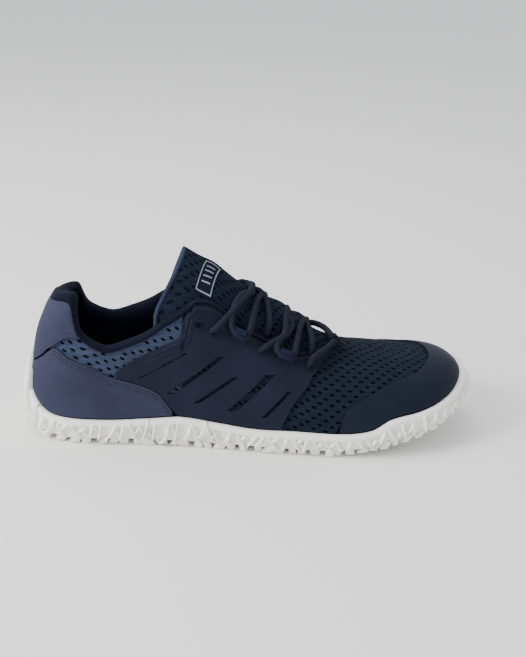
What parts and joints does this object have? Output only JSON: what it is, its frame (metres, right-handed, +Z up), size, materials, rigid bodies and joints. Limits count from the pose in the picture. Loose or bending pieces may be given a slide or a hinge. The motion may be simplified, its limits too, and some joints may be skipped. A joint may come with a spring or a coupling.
{
  "type": "barefoot shoe",
  "caption": "Low lace-up barefoot shoe for the right foot: hollow knitted upper with brushed overlays, flat cupped rubber sole, wide toe.",
  "frame": {"origin": "middle of the shoe's box in plan, on the plane that the tread stands on", "axes": "+X from heel to toe, +Y towards the inner (medial) side of the right foot, +Z up"},
  "size_m": [0.2851, 0.1051, 0.117],
  "materials": {
    "rubber": "matt off-white moulded rubber",
    "insole_cloth": "dark navy cloth over foam",
    "knit": "petrol navy knit with slit holes",
    "tongue_cloth": "padded navy knit",
    "suede": "matt navy brushed overlay",
    "smooth_cap": "smooth matt navy coated overlay",
    "lining": "dark navy lining cloth",
    "label": "woven patch with a plain pale border",
    "lace_cord": "round braided navy-grey cord",
    "webbing": "grey-blue woven tape"
  },
  "bodies": {
    "root": {"outsole": "rubber", "insole": "insole_cloth", "upper": "knit", "tongue": "tongue_cloth", "heel_counter": "suede", "heel_collar": "suede", "side_panel_lateral": "suede", "side_panel_medial": "suede", "toe_cap": "smooth_cap", "collar_lining": "lining", "tongue_label": "label", "throat_loop": "lace_cord", "lace_loop_lateral_rear": "webbing", "lace_loop_lateral_front": "webbing", "lace_loop_medial_rear": "webbing", "lace_loop_medial_front": "webbing", "lace_front": "lace_cord", "lace_lower": "lace_cord", "lace_upper": "lace_cord"}
  },
  "joints": []
}
